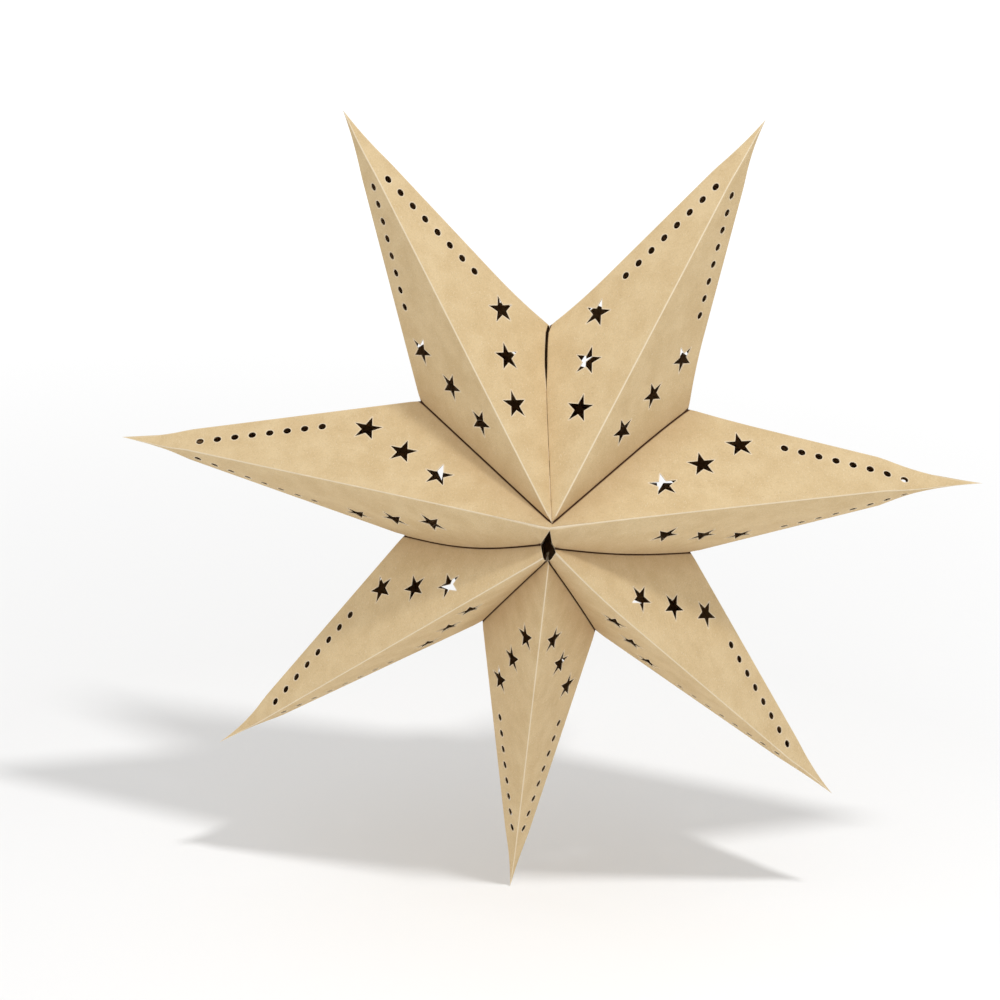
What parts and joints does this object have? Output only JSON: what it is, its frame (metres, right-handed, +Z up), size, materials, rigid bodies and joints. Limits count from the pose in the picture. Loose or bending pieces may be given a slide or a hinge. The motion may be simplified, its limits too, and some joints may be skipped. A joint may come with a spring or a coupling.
{
  "type": "paper star lantern",
  "caption": "Hanging star of hollow folded card arms with rows of punched dots and small cut-out stars, glued together round an open hub.",
  "frame": {"origin": "the hanging point: outer corner of the top seam between the two upper arms, in the star's middle plane", "axes": "+X to the right seen from the front, +Y to the back, +Z up; the front faces -Y"},
  "size_m": [0.5993, 0.2258, 0.5804],
  "materials": {
    "kraft_card": "matt, uncoated, with fine fibres"
  },
  "bodies": {
    "root": {"arm_bottom": "kraft_card", "arm_lower_right": "kraft_card", "arm_right": "kraft_card", "arm_upper_right": "kraft_card", "arm_upper_left": "kraft_card", "arm_left": "kraft_card", "arm_lower_left": "kraft_card"}
  },
  "joints": []
}
